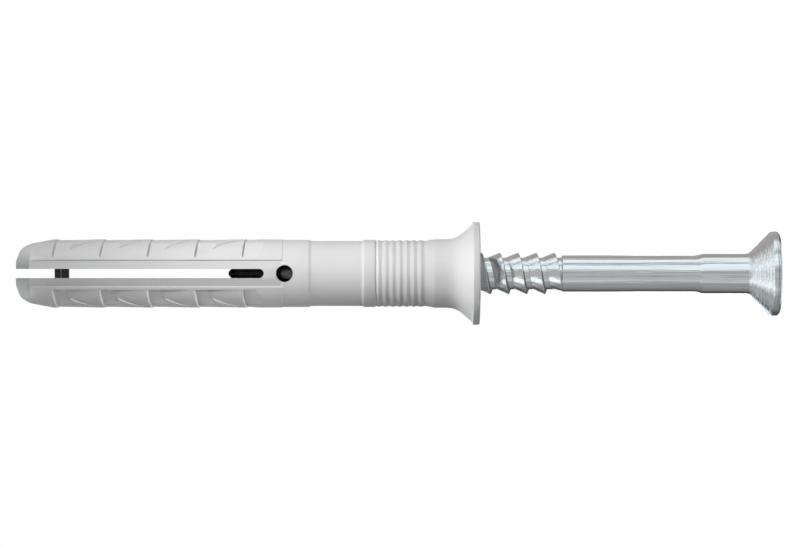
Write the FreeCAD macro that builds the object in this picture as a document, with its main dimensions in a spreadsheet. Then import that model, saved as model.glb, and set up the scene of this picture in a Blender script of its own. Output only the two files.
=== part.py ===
import FreeCAD, Part
import math
import os
import Sketcher

# Hammer fixing plug, nail screw half driven
# The nail screw stands on its flat head at z = 0 and points up. The sleeve is a
# split nylon plug that sits on the threaded end of the nail. Lengths are in
# millimetres. X is across the slit of the sleeve, Y runs through it, Z is the
# common axis of both pieces.

doc = FreeCAD.newDocument("hammer_plug")
sheet = doc.addObject("Spreadsheet::Sheet", "sizes")

SIZES = [
    ("nail_length", 66.0, "head face to point"),
    ("head_dia", 10.16, "countersunk head"),
    ("head_rim", 0.96, "cylindrical rim of the head"),
    ("head_edge_length", 0.22, "bevel of the head face edge"),
    ("neck_dia", 4.81, "thicker neck under the head"),
    ("neck_end", 9.15, "head face to the end of the neck"),
    ("neck_taper_length", 0.75, "cone from neck to shank"),
    ("shank_dia", 4.35, "plain shank"),
    ("thread_low", 25.73, "head face to the start of the thread"),
    ("thread_high", 59.6, "head face to the end of the threaded core"),
    ("thread_formed", 40.5, "head face to the last turn formed here"),
    ("thread_root_dia", 3.8, "root of the thread"),
    ("thread_crest_dia", 5.0, "crest of the thread"),
    ("thread_pitch", 2.18, "single start, right handed"),
    ("thread_ramp", 1.45, "length of the gentle flank"),
    ("thread_flank", 0.2, "length of the steep flank"),
    ("pilot_dia", 3.2, "smooth pilot beyond the thread"),
    ("point_length", 1.35, "conical point"),
    ("point_flat_dia", 0.4, "blunt end of the point"),
    ("recess_width", 4.6, "cross recess, arm to arm"),
    ("recess_slot", 1.0, "width of one arm of the recess"),
    ("recess_depth", 2.1, "depth of the recess"),
    ("recess_floor", 1.6, "arm to arm at the recess floor"),
    ("drive_gap", 35.88, "nail head face to sleeve flange face"),
    ("sleeve_length", 55.6, "flange face to the tip of the sleeve"),
    ("seat_gap", 0.15, "countersink larger than the nail head, on the radius"),
    ("flange_wall", 0.935, "flange rim beyond the countersink, on the radius"),
    ("flange_rim", 0.84, "thickness of the flange rim"),
    ("flange_edge_length", 0.1, "bevel of the flange face edge"),
    ("flange_lip", 0.245, "step from the flange in to the flare, on the radius"),
    ("flare_slope", 1.105, "rise of the flare for each unit that it narrows"),
    ("flare_round", 1.95, "radius of the hollow between flare and throat"),
    ("throat_dia", 8.22, "throat under the flare"),
    ("throat_end", 5.22, "flange face to the end of the throat"),
    ("throat_taper_length", 1.32, "cone from throat to body"),
    ("body_dia", 7.79, "plain body"),
    ("ridge_height", 0.07, "fine ridges above the body"),
    ("ridge_first", 7.14, "flange face to the first ridge"),
    ("ridge_pitch", 0.81, "spacing of the ridges"),
    ("ridge_count", 7, "number of fine ridges"),
    ("ridge_width", 0.5, "width of a ridge at its foot"),
    ("ring_start", 12.42, "flange face to the stop ring"),
    ("ring_length", 1.32, "length of the stop ring"),
    ("ring_bevel_length", 0.2, "bevel of the stop ring"),
    ("collar_dia", 8.05, "stop ring and collar"),
    ("collar_start", 20.46, "flange face to the collar"),
    ("collar_bevel_length", 0.34, "bevel below the collar"),
    ("barb_zone", 23.58, "flange face to the barbed zone"),
    ("land_dia", 8.2, "uncut barbed zone"),
    ("barb_first", 27.92, "flange face to the first barb"),
    ("barb_pitch", 5.64, "spacing of the barbs"),
    ("barb_count", 5, "number of barbs"),
    ("barb_depth", 0.12, "depth of a barb at the side"),
    ("facet_depth", 0.35, "depth of a barb on its slanted facet"),
    ("facet_angle", 48.0, "slanted facet, degrees from the slit side"),
    ("barb_slant", 7.6, "slant of the barb face, degrees"),
    ("land_width", 3.84, "width of the uncut land along the slit"),
    ("nose_length", 4.52, "tip back to the full diameter"),
    ("nose_dia", 7.12, "end of the nose cone"),
    ("nose_cone_end", 1.64, "tip back to the end of the nose cone"),
    ("nose_round_dia", 5.8, "outer edge of the tip round"),
    ("nose_round_end", 0.52, "tip back to the outer edge of the tip round"),
    ("tip_dia", 3.0, "flat end of the tip"),
    ("tip_thickness", 0.7, "thickness of the tip between its two slopes"),
    ("slit_width", 1.1, "slit through both walls"),
    ("slit_end", 25.72, "flange face to the closed end of the slit"),
    ("band_width", 3.18, "recessed band along the slit"),
    ("band_depth", 0.1, "depth of the band"),
    ("band_gap", 1.9, "tip back to the end of the band"),
    ("window_dia", 2.02, "round window beside the slit"),
    ("window_place", 23.28, "flange face to the window"),
    ("bridge_place", 49.3, "flange face to the bridge"),
    ("bridge_length", 1.6, "length of the bridge"),
    ("bridge_width", 1.6, "width of the bridge along Y"),
    ("bridge_crown", 0.25, "height of the ridge on the bridge"),
    ("thread_gap", 0.1, "clearance round the thread, on the radius"),
    ("pilot_gap", 0.12, "clearance round the pilot, on the radius"),
    ("bore_step", 0.7, "wide bore beyond the end of the thread"),
    ("bore_end_dia", 1.8, "bore at the bridge"),
]


class Size:
    """A number that keeps the formula it was worked out with."""

    def __init__(self, value, text):
        self.value = float(value)
        self.text = text

    def join(self, other, sign, value):
        other = as_size(other)
        return Size(value(self.value, other.value), "(%s %s %s)" % (self.text, sign, other.text))

    def __add__(self, other):
        return self.join(other, "+", lambda a, b: a + b)

    def __sub__(self, other):
        return self.join(other, "-", lambda a, b: a - b)

    def __mul__(self, other):
        return self.join(other, "*", lambda a, b: a * b)

    def __truediv__(self, other):
        return self.join(other, "/", lambda a, b: a / b)

    def __neg__(self):
        return self * -1.0


def as_size(number):
    """Return a plain number or a Size as a Size."""
    return number if isinstance(number, Size) else Size(number, repr(float(number)))


size = {}
for line, (alias, number, note) in enumerate(SIZES, start=1):
    sheet.set("A%d" % line, alias.replace("_", " "))
    sheet.set("B%d" % line, "%g" % number)
    sheet.set("C%d" % line, note)
    sheet.setAlias("B%d" % line, alias)
    size[alias] = Size(number, "sizes." + alias)
doc.recompute()


def sine(angle):
    """Sine of an angle in degrees."""
    return Size(math.sin(math.radians(angle.value)), "sin(%s * 1 deg)" % angle.text)


def cosine(angle):
    """Cosine of an angle in degrees."""
    return Size(math.cos(math.radians(angle.value)), "cos(%s * 1 deg)" % angle.text)


def root(number):
    """Square root."""
    return Size(math.sqrt(number.value), "sqrt(%s)" % number.text)


def new_body(name):
    """Start one piece."""
    body = doc.addObject("PartDesign::Body", name)
    body.Label = name
    return body


def origin_item(body, role):
    """Return a plane or an axis of the body's own origin."""
    for item in body.Origin.OriginFeatures:
        if item.Role == role:
            return item
    raise ValueError("no origin item " + role)


def outline(body, name, role, points, height=None, tilt=None, rounded=None):
    """Draw a closed outline whose corners are bound to the sheet.

    Each point is (across, up) in the plane. A height lifts the plane along its
    normal and a tilt turns it about its own X axis. Rounded is one of the points
    and the radius of the arc that takes its place.
    """
    sketch = body.newObject("Sketcher::SketchObject", name)
    sketch.AttachmentSupport = [(origin_item(body, role), "")]
    sketch.MapMode = "FlatFace"
    corners = [(as_size(across), as_size(up)) for across, up in points]
    vectors = [FreeCAD.Vector(across.value, up.value, 0) for across, up in corners]
    count = len(vectors)
    for index in range(count):
        sketch.addGeometry(Part.LineSegment(vectors[index], vectors[(index + 1) % count]), False)
    for index in range(count):
        sketch.addConstraint(Sketcher.Constraint("Coincident", index, 2, (index + 1) % count, 1))
    for index, (across, up) in enumerate(corners):
        for kind, place in (("DistanceX", across), ("DistanceY", up)):
            number = sketch.addConstraint(Sketcher.Constraint(kind, index, 1, place.value))
            label = "%s%d" % ("across" if kind == "DistanceX" else "up", index)
            sketch.renameConstraint(number, label)
            sketch.setExpression("Constraints." + label, place.text)
    if rounded is not None:
        corner, radius = rounded
        sketch.fillet(points.index(corner), 1, radius.value, True, True)
        number = sketch.addConstraint(Sketcher.Constraint("Radius", count, radius.value))
        sketch.renameConstraint(number, "round")
        sketch.setExpression("Constraints.round", radius.text)
    if height is not None:
        sketch.setExpression("AttachmentOffset.Base.z", as_size(height).text)
    if tilt is not None:
        sketch.AttachmentOffset = FreeCAD.Placement(
            FreeCAD.Vector(0, 0, 0), FreeCAD.Rotation(FreeCAD.Vector(1, 0, 0), tilt.value))
        sketch.setExpression("AttachmentOffset.Rotation.Angle", tilt.text)
    return sketch


def volume(body):
    """Return the volume of the body as it stands."""
    doc.recompute()
    return body.Shape.Volume


def feature(body, kind, name, profile):
    """Add a feature driven by a profile."""
    item = body.newObject(kind, name)
    item.Profile = profile
    return item


def must_cut(body, before, item):
    """Stop if a cut takes nothing away."""
    if volume(body) >= before:
        raise ValueError(item.Name + " cuts nothing")


def revolve(body, name, points, cut=False, rounded=None):
    """Turn an outline of (radius, height) points about the Z axis."""
    sketch = outline(body, name + "_outline", "XZ_Plane", points, rounded=rounded)
    before = volume(body) if cut else 0.0
    item = feature(body, "PartDesign::Groove" if cut else "PartDesign::Revolution", name, sketch)
    item.ReferenceAxis = (sketch, ["V_Axis"])
    item.Angle = 360.0
    if cut:
        must_cut(body, before, item)
    return item


def disc(body, name, height, radius):
    """Draw a circle on the axis of the piece, seen along Y."""
    sketch = body.newObject("Sketcher::SketchObject", name)
    sketch.AttachmentSupport = [(origin_item(body, "XZ_Plane"), "")]
    sketch.MapMode = "FlatFace"
    middle = FreeCAD.Vector(0, height.value, 0)
    sketch.addGeometry(Part.Circle(middle, FreeCAD.Vector(0, 0, 1), radius.value), False)
    for kind, place in (("DistanceX", as_size(0)), ("DistanceY", height)):
        number = sketch.addConstraint(Sketcher.Constraint(kind, 0, 3, place.value))
        sketch.renameConstraint(number, kind.lower())
        sketch.setExpression("Constraints." + kind.lower(), place.text)
    number = sketch.addConstraint(Sketcher.Constraint("Radius", 0, radius.value))
    sketch.renameConstraint(number, "round")
    sketch.setExpression("Constraints.round", radius.text)
    return sketch


def through(body, name, sketch):
    """Cut a profile through both walls."""
    before = volume(body)
    item = feature(body, "PartDesign::Pocket", name, sketch)
    item.Type = "ThroughAll"
    item.Midplane = True
    must_cut(body, before, item)
    return item


def spread(pattern, pitch, count):
    """Set the spacing and the number of copies of a pattern."""
    pattern.setExpression("Length", (pitch * (count - 1)).text)
    pattern.setExpression("Occurrences", count.text)


def row(body, name, originals, pitch, count):
    """Repeat features along Z."""
    pattern = doc.addObject("PartDesign::LinearPattern", name)
    body.addObject(pattern)
    pattern.Originals = originals
    pattern.Direction = (origin_item(body, "Z_Axis"), [""])
    spread(pattern, pitch, count)
    body.Tip = pattern
    return pattern


def mirror(body, name, originals, role):
    """Repeat features on the other side of an origin plane."""
    item = doc.addObject("PartDesign::Mirrored", name)
    body.addObject(item)
    item.Originals = originals
    item.MirrorPlane = (origin_item(body, role), [""])
    body.Tip = item
    return item


def cross(body, name, width, slot, height):
    """Draw a cross, arm to arm the width, across the Z axis."""
    arm = width / 2
    half = slot / 2
    return outline(body, name, "XY_Plane", [
        (arm, -half), (arm, half), (half, half), (half, arm),
        (-half, arm), (-half, half), (-arm, half), (-arm, -half),
        (-half, -half), (-half, -arm), (half, -arm), (half, -half),
    ], height)


def band_section(body, name, outer, height):
    """Draw the cut of the band on the -Y side below a given outside radius."""
    half = size["band_width"] / 2
    floor = outer - size["band_depth"]
    edge = root(floor * floor - half * half)
    clear = outer + OVERRUN
    return outline(body, name, "XY_Plane", [
        (-half, -edge), (0, -floor), (half, -edge), (half, -clear), (-half, -clear),
    ], height)


def barb_section(body, name, side, slanted, height, tilt):
    """Draw the cut of a barb on the quarter between -Y and +X.

    The side facet lies at X = side. The slanted facet lies at the distance
    slanted from the axis. The cut stops at the land beside the slit.
    """
    land = size["land_width"] / 2
    lean = size["facet_angle"]
    on_land = (slanted - land * sine(lean)) / cosine(lean)
    on_side = (slanted - side * sine(lean)) / cosine(lean)
    clear = size["land_dia"] / 2 + OVERRUN
    return outline(body, name, "XY_Plane", [
        (land, -on_land), (side, -on_side), (side, SKIN),
        (clear, SKIN), (clear, -clear), (land, -clear),
    ], height, tilt)


# What cuts or adds reaches this far past or into its neighbour.
OVERRUN = 1.0
ROOTING = 0.3
SKIN = 0.02

# Nail screw
s = size
head_r = s["head_dia"] / 2
neck_r = s["neck_dia"] / 2
shank_r = s["shank_dia"] / 2
root_r = s["thread_root_dia"] / 2
crest_r = s["thread_crest_dia"] / 2
pilot_r = s["pilot_dia"] / 2
cone_top = s["head_rim"] + head_r - neck_r
pilot_top = s["nail_length"] - s["point_length"]

# The head cone is a right angle, so it rises as much as it narrows.
nail = new_body("nail_screw")
revolve(nail, "Turned", [
    (0, 0),
    (head_r - s["head_edge_length"], 0),
    (head_r, s["head_edge_length"]),
    (head_r, s["head_rim"]),
    (neck_r, cone_top),
    (neck_r, s["neck_end"]),
    (shank_r, s["neck_end"] + s["neck_taper_length"]),
    (shank_r, s["thread_low"]),
    (root_r, s["thread_low"] + (shank_r - root_r)),
    (root_r, s["thread_high"]),
    (pilot_r, s["thread_high"]),
    (pilot_r, pilot_top),
    (s["point_flat_dia"] / 2, s["nail_length"]),
    (0, s["nail_length"]),
])

# Sawtooth thread
# The steep flank looks to the head, so the nail slides in and grips when pulled.
# The tooth is drawn on the -X side, where the thread starts. Turns are formed
# over the bare stretch and the first ones in the sleeve, as the rest is hidden.
tooth_root = s["thread_low"] + s["thread_flank"] + s["thread_ramp"]
tooth = outline(nail, "Thread_outline", "XZ_Plane", [
    (-(root_r - ROOTING), s["thread_low"]),
    (-root_r, s["thread_low"]),
    (-crest_r, s["thread_low"] + s["thread_flank"]),
    (-root_r, tooth_root),
    (-(root_r - ROOTING), tooth_root),
])
thread = feature(nail, "PartDesign::AdditiveHelix", "Thread", tooth)
thread.ReferenceAxis = (tooth, ["V_Axis"])
thread.Mode = 0
thread.setExpression("Pitch", "sizes.thread_pitch")
thread.setExpression("Height", (s["thread_formed"] - tooth_root).text)

# Cross recess in the head face
recess_mouth = cross(nail, "Recess_mouth", s["recess_width"], s["recess_slot"], as_size(0))
recess_floor = cross(nail, "Recess_floor", s["recess_floor"], s["recess_slot"], s["recess_depth"])
before = volume(nail)
recess = feature(nail, "PartDesign::SubtractiveLoft", "Recess", recess_mouth)
recess.Sections = [recess_floor]
recess.Ruled = True
must_cut(nail, before, recess)

# Expansion sleeve
# Heights run from the flange face, which lies at the drive gap.
face = s["drive_gap"]
tip = face + s["sleeve_length"]
seat_r = head_r + s["seat_gap"]
flange_r = seat_r + s["flange_wall"]
flare_r = flange_r - s["flange_lip"]
throat_r = s["throat_dia"] / 2
body_r = s["body_dia"] / 2
ridge_r = body_r + s["ridge_height"]
collar_r = s["collar_dia"] / 2
land_r = s["land_dia"] / 2
nose_r = s["nose_dia"] / 2
rim_top = face + s["flange_rim"]
flare_end = (throat_r, rim_top + (flare_r - throat_r) * s["flare_slope"])
throat_top = face + s["throat_end"]
ring_low = face + s["ring_start"]
ring_high = ring_low + s["ring_length"]
collar_low = face + s["collar_start"]
zone_low = face + s["barb_zone"]
barb_low = face + s["barb_first"]
nose_low = tip - s["nose_length"]
cone_high = tip - s["nose_cone_end"]

sleeve = new_body("expansion_sleeve")
revolve(sleeve, "Blank", [
    (0, face),
    (flange_r - s["flange_edge_length"], face),
    (flange_r, face + s["flange_edge_length"]),
    (flange_r, rim_top),
    (flare_r, rim_top),
    flare_end,
    (throat_r, throat_top),
    (body_r, throat_top + s["throat_taper_length"]),
    (body_r, ring_low),
    (collar_r, ring_low),
    (collar_r, ring_high),
    (body_r, ring_high + s["ring_bevel_length"]),
    (body_r, collar_low - s["collar_bevel_length"]),
    (collar_r, collar_low),
    (collar_r, zone_low),
    (land_r, barb_low),
    (land_r, nose_low),
    (nose_r, cone_high),
    (s["nose_round_dia"] / 2, tip - s["nose_round_end"]),
    (s["tip_dia"] / 2, tip),
    (0, tip),
], rounded=(flare_end, s["flare_round"]))

# Fine ridges
ridge_mid = face + s["ridge_first"]
ridge_low = ridge_mid - s["ridge_width"] / 2
ridge_high = ridge_mid + s["ridge_width"] / 2
ridge = revolve(sleeve, "Ridge", [
    (body_r - ROOTING, ridge_low),
    (body_r, ridge_low),
    (ridge_r, ridge_mid),
    (body_r, ridge_high),
    (body_r - ROOTING, ridge_high),
])
row(sleeve, "Ridges", [ridge], s["ridge_pitch"], s["ridge_count"])

# Bore
# It clears the thread up to its end, then the pilot, and tapers to the bridge.
bore_r = crest_r + s["thread_gap"]
tight_r = pilot_r + s["pilot_gap"]
seat_top = face + s["head_rim"]
bore_top = s["thread_high"] + s["bore_step"]
bridge_low = face + s["bridge_place"]
revolve(sleeve, "Bore", [
    (0, face - OVERRUN),
    (seat_r, face - OVERRUN),
    (seat_r, seat_top),
    (bore_r, seat_top + seat_r - bore_r),
    (bore_r, bore_top),
    (tight_r, bore_top + bore_r - tight_r),
    (tight_r, s["nail_length"] + s["pilot_gap"]),
    (s["bore_end_dia"] / 2, bridge_low),
    (0, bridge_low),
], cut=True)

# Slit through both walls, with a round end
slit_r = s["slit_width"] / 2
slit_mid = face + s["slit_end"] + slit_r
slit_outline = outline(sleeve, "Slit_outline", "XZ_Plane", [
    (-slit_r, slit_mid),
    (slit_r, slit_mid),
    (slit_r, tip + OVERRUN),
    (-slit_r, tip + OVERRUN),
])
through(sleeve, "Slit", slit_outline)
through(sleeve, "Slit_end", disc(sleeve, "Slit_end_outline", slit_mid, slit_r))
window_mid = face + s["window_place"]
through(sleeve, "Window", disc(sleeve, "Window_outline", window_mid, s["window_dia"] / 2))

# Recessed band along the slit, two slanted flats that follow the outside
nose_share = (s["band_gap"] - s["nose_cone_end"]) / (s["nose_length"] - s["nose_cone_end"])
band_high = tip - s["band_gap"]
band_end_r = nose_r + (land_r - nose_r) * nose_share
band_sections = [
    band_section(sleeve, "Band_low", collar_r, zone_low),
    band_section(sleeve, "Band_barb", land_r, barb_low),
    band_section(sleeve, "Band_nose", land_r, nose_low),
    band_section(sleeve, "Band_tip", band_end_r, band_high),
]
before = volume(sleeve)
band = feature(sleeve, "PartDesign::SubtractiveLoft", "Band", band_sections[0])
band.Sections = band_sections[1:]
band.Ruled = True
must_cut(sleeve, before, band)
mirror(sleeve, "Bands", [band], "XZ_Plane")

# Slopes on both sides of the tip, from the end of the band to a thin edge
slope_out = band_end_r - s["band_depth"]
slope_in = s["tip_thickness"] / 2
clear_of_nose = land_r + OVERRUN
slope_outline = outline(sleeve, "Tip_slope_outline", "YZ_Plane", [
    (slope_out, band_high),
    (clear_of_nose, band_high),
    (clear_of_nose, tip + OVERRUN),
    (slope_in, tip + OVERRUN),
    (slope_in, tip),
])
slope = through(sleeve, "Tip_slope", slope_outline)
mirror(sleeve, "Tip_slopes", [slope], "XZ_Plane")

# Barbs
# Each one is a ramp that rises to a steep face looking to the flange. On each
# quarter it is cut by a slanted facet and a side facet, and stops at the land.
side_floor = land_r - s["barb_depth"]
barb_mouth = barb_section(sleeve, "Barb_deep", side_floor, land_r - s["facet_depth"],
                          barb_low, -s["barb_slant"])
barb_end = barb_section(sleeve, "Barb_shallow", land_r, land_r + SKIN,
                        barb_low - s["barb_pitch"], None)
before = volume(sleeve)
barb = feature(sleeve, "PartDesign::SubtractiveLoft", "Barb", barb_mouth)
barb.Sections = [barb_end]
barb.Ruled = True
must_cut(sleeve, before, barb)
barbs = doc.addObject("PartDesign::MultiTransform", "Barbs")
sleeve.addObject(barbs)
barbs.Originals = [barb]
across = doc.addObject("PartDesign::Mirrored", "Barb_across")
across.MirrorPlane = (origin_item(sleeve, "XZ_Plane"), [""])
along = doc.addObject("PartDesign::Mirrored", "Barb_along")
along.MirrorPlane = (origin_item(sleeve, "YZ_Plane"), [""])
repeat = doc.addObject("PartDesign::LinearPattern", "Barb_repeat")
repeat.Direction = (origin_item(sleeve, "Z_Axis"), [""])
spread(repeat, s["barb_pitch"], s["barb_count"])
sleeve.addObject(across)
sleeve.addObject(along)
sleeve.addObject(repeat)
barbs.Transformations = [across, along, repeat]
sleeve.Tip = barbs

# Bridge
# It ties the two halves until the nail is driven. Its faces have a low ridge.
half_bridge = s["bridge_width"] / 2
bridge_high = bridge_low + s["bridge_length"]
bridge_mid = bridge_low + s["bridge_length"] / 2
bridge_outline = outline(sleeve, "Bridge_outline", "YZ_Plane", [
    (-half_bridge, bridge_low),
    (half_bridge, bridge_low),
    (half_bridge + s["bridge_crown"], bridge_mid),
    (half_bridge, bridge_high),
    (-half_bridge, bridge_high),
    (-half_bridge - s["bridge_crown"], bridge_mid),
])
bridge = feature(sleeve, "PartDesign::Pad", "Bridge", bridge_outline)
bridge.Midplane = True
bridge.setExpression("Length", (s["slit_width"] + ROOTING).text)

doc.recompute()
for item in doc.Objects:
    if "Invalid" in item.State or "Error" in item.State:
        raise ValueError("%s failed: %s" % (item.Name, item.State))
for piece in (nail, sleeve):
    shape = piece.Shape
    if shape.isNull() or not shape.isValid() or len(shape.Solids) != 1:
        raise ValueError(piece.Label + " is not one valid solid")

os.makedirs("parts", exist_ok=True)
for piece in (nail, sleeve):
    piece.Shape.exportStep("parts/%s.step" % piece.Label)
    box = piece.Shape.BoundBox
    print(piece.Label, "volume %.2f" % piece.Shape.Volume, "z %.2f to %.2f" % (box.ZMin, box.ZMax))
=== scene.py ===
# %% [markdown]
# A hammer fixing plug with its nail screw half driven. The plug is a split nylon
# sleeve with a flange, fine ridges and five rows of barbs. The nail screw is
# turned steel with a bright zinc finish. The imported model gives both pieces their
# place: the nail stands on its head at z = 0 and both point up along Z. Shapes
# below are worked out in millimetres and become metres when a mesh is made.

# %% Load the frame
import math

import bmesh
import bpy
import numpy as np
from mathutils import Matrix, Vector


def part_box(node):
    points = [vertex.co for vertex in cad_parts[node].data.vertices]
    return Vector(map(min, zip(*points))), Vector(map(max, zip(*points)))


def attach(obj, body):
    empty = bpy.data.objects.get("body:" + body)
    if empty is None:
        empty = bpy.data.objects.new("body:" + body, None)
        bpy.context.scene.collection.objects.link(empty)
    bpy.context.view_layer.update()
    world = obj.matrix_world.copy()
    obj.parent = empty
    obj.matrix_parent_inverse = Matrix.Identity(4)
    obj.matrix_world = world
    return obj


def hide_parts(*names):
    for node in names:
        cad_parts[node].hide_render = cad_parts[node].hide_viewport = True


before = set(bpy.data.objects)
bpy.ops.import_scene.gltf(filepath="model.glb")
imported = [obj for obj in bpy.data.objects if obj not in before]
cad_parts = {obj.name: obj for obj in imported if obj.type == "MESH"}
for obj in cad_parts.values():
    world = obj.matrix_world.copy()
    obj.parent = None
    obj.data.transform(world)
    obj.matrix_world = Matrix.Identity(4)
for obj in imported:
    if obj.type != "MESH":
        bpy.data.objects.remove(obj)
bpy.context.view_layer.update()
MM = 0.001
TINY = 1e-6
nail_low, nail_high = [np.array(corner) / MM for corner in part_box("nail_screw")]
sleeve_low, sleeve_high = [np.array(corner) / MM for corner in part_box("expansion_sleeve")]
nail_top = nail_high[2]
face_z = sleeve_low[2]
tip_z = sleeve_high[2]
flange_radius = min(sleeve_high[0], sleeve_high[1], -sleeve_low[0], -sleeve_low[1])
head_radius = min(nail_high[0], nail_high[1], -nail_low[0], -nail_low[1])
print("nail", nail_low.round(2), nail_high.round(2))
print("sleeve", sleeve_low.round(2), sleeve_high.round(2))

# %% [markdown]
# The camera looks along +Y from in front of the slit, and is rolled so that the
# tip of the plug is on the left of the picture. The lens is long, as for a small
# part on a light table: the picture is 800 pixels wide for 96 mm at the plug.

# %% Camera
PICTURE_WIDTH = 800
SENSOR = 36.0
MM_PER_PIXEL = 0.12
CAMERA_DISTANCE = 384.0
AIM_HEIGHT = 45.42
CLIP_START = 0.01
CLIP_END = 10.0

camera_data = bpy.data.cameras.new("camera")
camera_data.sensor_width = SENSOR
camera_data.lens = SENSOR * CAMERA_DISTANCE / (PICTURE_WIDTH * MM_PER_PIXEL)
camera_data.clip_start = CLIP_START
camera_data.clip_end = CLIP_END
camera = bpy.data.objects.new("camera", camera_data)
right = Vector((0, 0, -1))
up = Vector((1, 0, 0))
back = Vector((0, -1, 0))
turn = Matrix((right, up, back)).transposed().to_4x4()
camera.matrix_world = Matrix.Translation(Vector((0, -CAMERA_DISTANCE, AIM_HEIGHT)) * MM) @ turn
bpy.context.scene.collection.objects.link(camera)
bpy.context.scene.camera = camera
bpy.context.scene.view_settings.view_transform = "Standard"
print("lens", round(camera_data.lens, 1))

# %% [markdown]
# Small helpers make meshes from whole arrays. A grid is rows by columns of points.
# Pieces are stitched from grids that share their edges, so doubles are merged and
# sharp edges are marked by angle afterwards. A profile is a list of corners, each
# with its radius, its height and the reach of its rounding.

# %% Mesh helpers
MERGE_DISTANCE = 0.0004
SHARP_ANGLE = 32.0
MOST_REACH = 0.45


def grid_faces(rows, columns, first=0):
    """Quads between neighbours: each joins (i, j), (i, j+1), (i+1, j+1) and (i+1, j)."""
    index = first + np.arange(rows * columns).reshape(rows, columns)
    corners = [index[:-1, :-1], index[:-1, 1:], index[1:, 1:], index[1:, :-1]]
    return np.stack(corners, -1).reshape(-1, 4)


class Shell:
    """Collects grids of points and their faces until the mesh is made."""

    def __init__(self):
        self.points = []
        self.faces = []
        self.count = 0

    def add(self, grid, flip=False):
        """Add a (rows, columns, 3) grid of points in millimetres."""
        faces = grid_faces(grid.shape[0], grid.shape[1], self.count)
        self.points.append(grid.reshape(-1, 3))
        self.faces.append(faces[:, ::-1] if flip else faces)
        self.count += grid.shape[0] * grid.shape[1]

    def make(self, name):
        """Make the object: merge doubles, drop faces of no area, shade smooth between sharp edges."""
        mesh = bpy.data.meshes.new(name)
        mesh.from_pydata(np.concatenate(self.points) * MM, [], np.concatenate(self.faces))
        shape = bmesh.new()
        shape.from_mesh(mesh)
        bmesh.ops.remove_doubles(shape, verts=shape.verts, dist=MERGE_DISTANCE * MM)
        bmesh.ops.dissolve_degenerate(shape, edges=shape.edges, dist=MERGE_DISTANCE * MM)
        open_edges = sum(1 for edge in shape.edges if not edge.is_manifold)
        shape.to_mesh(mesh)
        shape.free()
        mesh.shade_smooth()
        mesh.set_sharp_from_angle(angle=math.radians(SHARP_ANGLE))
        piece = bpy.data.objects.new(name, mesh)
        bpy.context.scene.collection.objects.link(piece)
        triangles = sum(len(face.vertices) - 2 for face in mesh.polygons)
        print(name, "triangles", triangles, "open edges", open_edges)
        return piece


def soften(corners, steps=3):
    """Round a profile: each corner becomes a parabola that starts and ends a reach away.

    The parabola through start, corner and end is start (1-t)^2 + 2 corner t (1-t) + end t^2.
    The reach is at most MOST_REACH of either side.
    """
    corners = np.array(corners, float)
    points, reaches = corners[:, :2], corners[1:, 2]
    share = np.linspace(0, 1, steps + 1)[:, None]
    rounded = [points[:1]]
    for before, corner, after, reach in zip(points, points[1:], points[2:], reaches):
        side_before = np.linalg.norm(corner - before)
        side_after = np.linalg.norm(after - corner)
        reach = min(reach, MOST_REACH * side_before, MOST_REACH * side_after)
        start = corner + (before - corner) * reach / side_before
        end = corner + (after - corner) * reach / side_after
        rounded.append(start * (1 - share) ** 2 + 2 * corner * share * (1 - share) + end * share ** 2)
    rounded.append(points[-1:])
    return np.concatenate(rounded)


# %% [markdown]
# The nail screw is turned, so its shape is a profile of radius and height carried
# round the Z axis. The profile starts on the flat of the head face. The face has a
# cross recess, whose outline meets each direction from the axis once, so its rows
# are worked out as distances along those directions.

# %% Nail screw profile
COLUMNS_ROUND = 96
RECESS_ARM = 2.3
RECESS_HALF = 0.5
RECESS_FLOOR_ARM = 0.8
RECESS_DEPTH = 2.1
RECESS_BEVEL = 0.06
FACE_RING = 0.6
HEAD_RIM = 0.96
HEAD_EDGE = 0.22
NECK_RADIUS = 2.405
NECK_END = 9.15
NECK_TAPER = 0.75
SHANK_RADIUS = 2.175
SHANK_END = 25.98
CORE_STEP = 0.1
THREAD_LOW = 25.63
THREAD_HIGH = 59.6
ROOT_RADIUS = 1.9
CREST_RADIUS = 2.5
PILOT_RADIUS = 1.6
PILOT_STEP = 0.05
POINT_LENGTH = 1.35
POINT_FLAT = 0.2
ANGLE_PLACES = 9

cone_top = HEAD_RIM + head_radius - NECK_RADIUS
nail_profile = soften([
    (head_radius - HEAD_EDGE - FACE_RING, 0.0, 0.0),
    (head_radius - HEAD_EDGE, 0.0, 0.03),
    (head_radius, HEAD_EDGE, 0.03),
    (head_radius, HEAD_RIM, 0.1),
    (NECK_RADIUS, cone_top, 0.35),
    (NECK_RADIUS, NECK_END, 0.25),
    (SHANK_RADIUS, NECK_END + NECK_TAPER, 0.25),
    (SHANK_RADIUS, SHANK_END, 0.06),
    (ROOT_RADIUS, SHANK_END + CORE_STEP, 0.06),
    (ROOT_RADIUS, THREAD_HIGH, 0.05),
    (PILOT_RADIUS, THREAD_HIGH + PILOT_STEP, 0.05),
    (PILOT_RADIUS, nail_top - POINT_LENGTH, 0.3),
    (POINT_FLAT, nail_top, 0.12),
    (0.0, nail_top, 0.0),
])


def cross_reach(angle, arm):
    """Distance from the axis to the cross: the nearer of the arm's end and the arm's side."""
    folded = np.abs((angle + math.pi / 4) % (math.pi / 2) - math.pi / 4)
    side = RECESS_HALF / np.maximum(np.sin(folded), TINY)
    return np.minimum(arm / np.cos(folded), side)


def turned(shell, profile, angles):
    """Carry (radius, height) points round Z: x = radius cos, y = radius sin."""
    radius, height = profile[:, :1], profile[:, 1:]
    shell.add(np.stack([
        radius * np.cos(angles),
        radius * np.sin(angles),
        np.broadcast_to(height, (len(profile), len(angles))),
    ], -1))


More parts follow.
